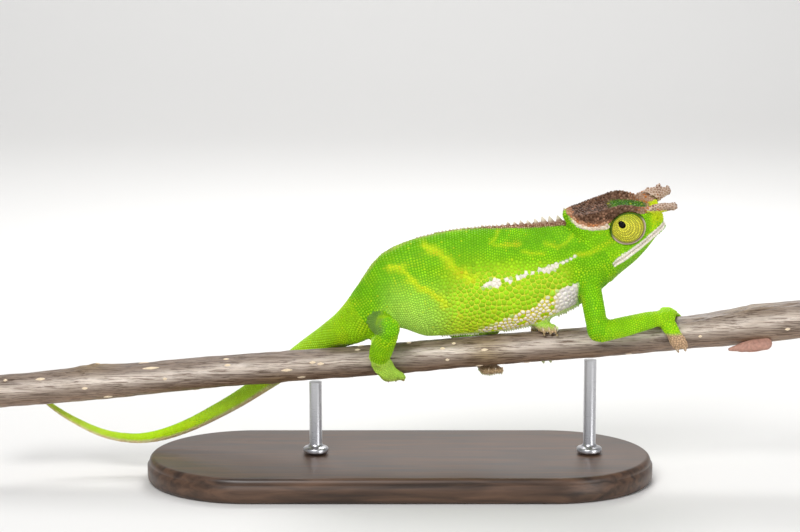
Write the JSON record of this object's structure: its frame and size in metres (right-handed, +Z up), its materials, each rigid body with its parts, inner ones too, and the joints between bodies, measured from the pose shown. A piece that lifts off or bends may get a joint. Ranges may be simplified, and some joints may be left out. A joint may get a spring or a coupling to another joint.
{
  "type": "canopy chameleon display model",
  "caption": "Life-size canopy chameleon standing on a cut length of twig, tail hanging behind it, held by a plain base with short rods.",
  "frame": {"origin": "middle of the underside of the stand's base", "axes": "+Z up, +X towards the head along the twig, -Y the animal's right side, which the picture shows"},
  "size_m": [0.196, 0.05, 0.0707],
  "materials": {
    "skin": "fine raised scales, vivid lime green with yellow between the scales",
    "eye_skin": "finely scaled yellow turret with dark green rings",
    "eyeball": "wet gloss black",
    "horn": "pinkish grey bony scales",
    "bark": "smooth grey-brown bark with pale lenticels",
    "stand_wood": "dark satin wood",
    "stand_metal": "brushed steel"
  },
  "bodies": {
    "root": {"head": "skin", "lower_jaw": "skin", "eye_turret_right": "eye_skin", "eye_turret_left": "eye_skin", "eye_right": "eyeball", "eye_left": "eyeball", "rostral_horn_right": "horn", "rostral_horn_left": "horn", "neck": "skin", "torso": "skin", "tail_root": "skin", "tail_middle": "skin", "tail_arc": "skin", "tail_tip": "skin", "upper_arm_right": "skin", "forearm_right": "skin", "hand_right": "skin", "upper_arm_left": "skin", "forearm_left": "skin", "hand_left": "skin", "thigh_right": "skin", "shank_right": "skin", "foot_right": "skin", "thigh_left": "skin", "shank_left": "skin", "foot_left": "skin", "perch_twig": "bark", "stand_base": "stand_wood", "stand_rod_rear": "stand_metal", "stand_rod_front": "stand_metal"}
  },
  "joints": []
}
